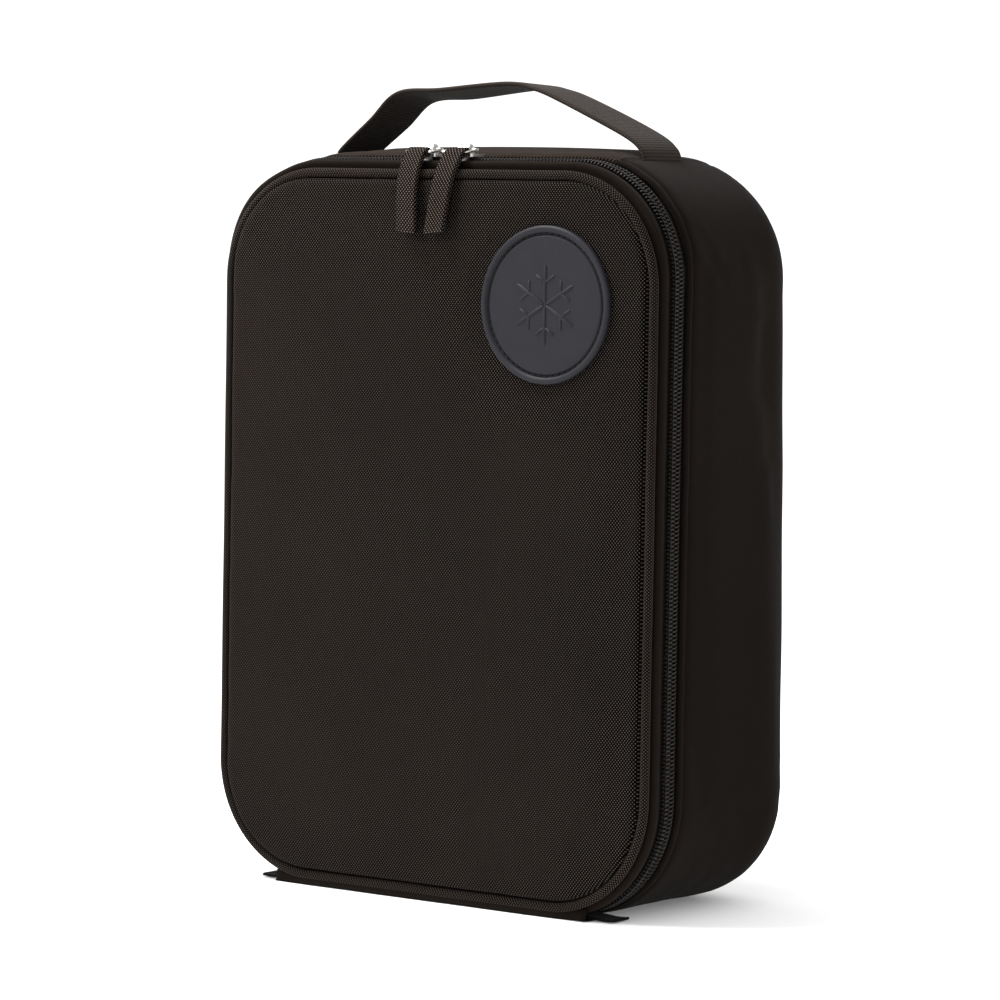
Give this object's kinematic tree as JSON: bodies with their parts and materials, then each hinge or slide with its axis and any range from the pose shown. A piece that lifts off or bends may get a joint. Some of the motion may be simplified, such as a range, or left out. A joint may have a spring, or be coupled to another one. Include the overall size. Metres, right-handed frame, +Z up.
{
  "type": "insulated cooler bag",
  "caption": "Soft insulated lunch bag that stands upright, with a padded zip-open front lid hinged along its bottom edge, a flat webbing top handle and a round rubber badge.",
  "frame": {"origin": "middle of the flat bottom of the body, on the floor", "axes": "+X to the viewer's right across the front, +Y from the front panel towards the back, +Z up"},
  "size_m": [0.21, 0.108, 0.3137],
  "materials": {
    "face_weave": "coarse basket weave, matt",
    "side_weave": "fine plain weave, matt",
    "smooth_band": "smooth tight weave, slight sheen",
    "webbing": "ribbed webbing",
    "foam": "closed-cell foam",
    "lining": "wipe-clean film",
    "binding": "woven tape",
    "zip_tape": "herringbone tape",
    "zip_coil": "nylon coil",
    "mesh": "open mesh",
    "rubber": "soft moulded rubber, satin",
    "nickel": "bright nickel plate",
    "ribbon": "grosgrain ribbon",
    "piping": "woven piping cover"
  },
  "bodies": {
    "bag_body": {"side_gusset": "side_weave", "top_gusset": "side_weave", "back_panel": "side_weave", "body_foam": "foam", "back_foam": "foam", "body_liner": "lining", "liner_binding": "binding", "body_zip_tape": "zip_tape", "body_zip_coil": "zip_coil", "hinge_strip": "smooth_band", "zip_end_tab_left": "ribbon", "zip_end_tab_right": "ribbon"},
    "handle": {"handle_strap": "webbing"},
    "lid": {"front_panel": "face_weave", "front_piping": "piping", "piping_cord": "binding", "lid_band": "smooth_band", "lid_zip_tape": "zip_tape", "lid_zip_coil": "zip_coil", "lid_foam": "foam", "lid_liner": "lining", "lid_binding": "binding", "mesh_pocket": "mesh", "mesh_pocket_elastic": "binding", "badge_patch": "rubber"},
    "slider_left": {"zip_slider_left": "nickel"},
    "bail_left": {"zip_bail_left": "nickel"},
    "pull_left": {"zip_pull_left": "webbing"},
    "slider_right": {"zip_slider_right": "nickel"},
    "bail_right": {"zip_bail_right": "nickel"},
    "pull_right": {"zip_pull_right": "webbing"}
  },
  "joints": [
    {"name": "lid_open", "type": "hinge", "parent": "bag_body", "child": "lid", "pos_m": [0, -0.0492, 0.00345], "axis": [1, 0, 0], "range_deg": [0, 88]},
    {"name": "handle_lean", "type": "hinge", "parent": "bag_body", "child": "handle", "pos_m": [0, -0.0055, 0.2842], "axis": [1, 0, 0], "range_deg": [-15, 15], "stiffness_Nm_per_rad": 0.06},
    {"name": "slider_left_slide", "type": "slide", "parent": "lid", "child": "slider_left", "axis": [1, 0, 0], "range_m": [-0.0415, 0]},
    {"name": "bail_left_swing", "type": "hinge", "parent": "slider_left", "child": "bail_left", "pos_m": [-0.0118, -0.039, 0.2874], "axis": [-1, 0, 0], "range_deg": [0, 100]},
    {"name": "pull_left_swing", "type": "hinge", "parent": "bail_left", "child": "pull_left", "pos_m": [-0.0118, -0.04653, 0.28634], "axis": [-1, 0, 0], "range_deg": [0, 70]},
    {"name": "slider_right_slide", "type": "slide", "parent": "lid", "child": "slider_right", "axis": [1, 0, 0], "range_m": [0, 0.048]},
    {"name": "bail_right_swing", "type": "hinge", "parent": "slider_right", "child": "bail_right", "pos_m": [0.0053, -0.039, 0.2874], "axis": [-1, 0, 0], "range_deg": [0, 100]},
    {"name": "pull_right_swing", "type": "hinge", "parent": "bail_right", "child": "pull_right", "pos_m": [0.0053, -0.04653, 0.28634], "axis": [-1, 0, 0], "range_deg": [0, 70]}
  ]
}
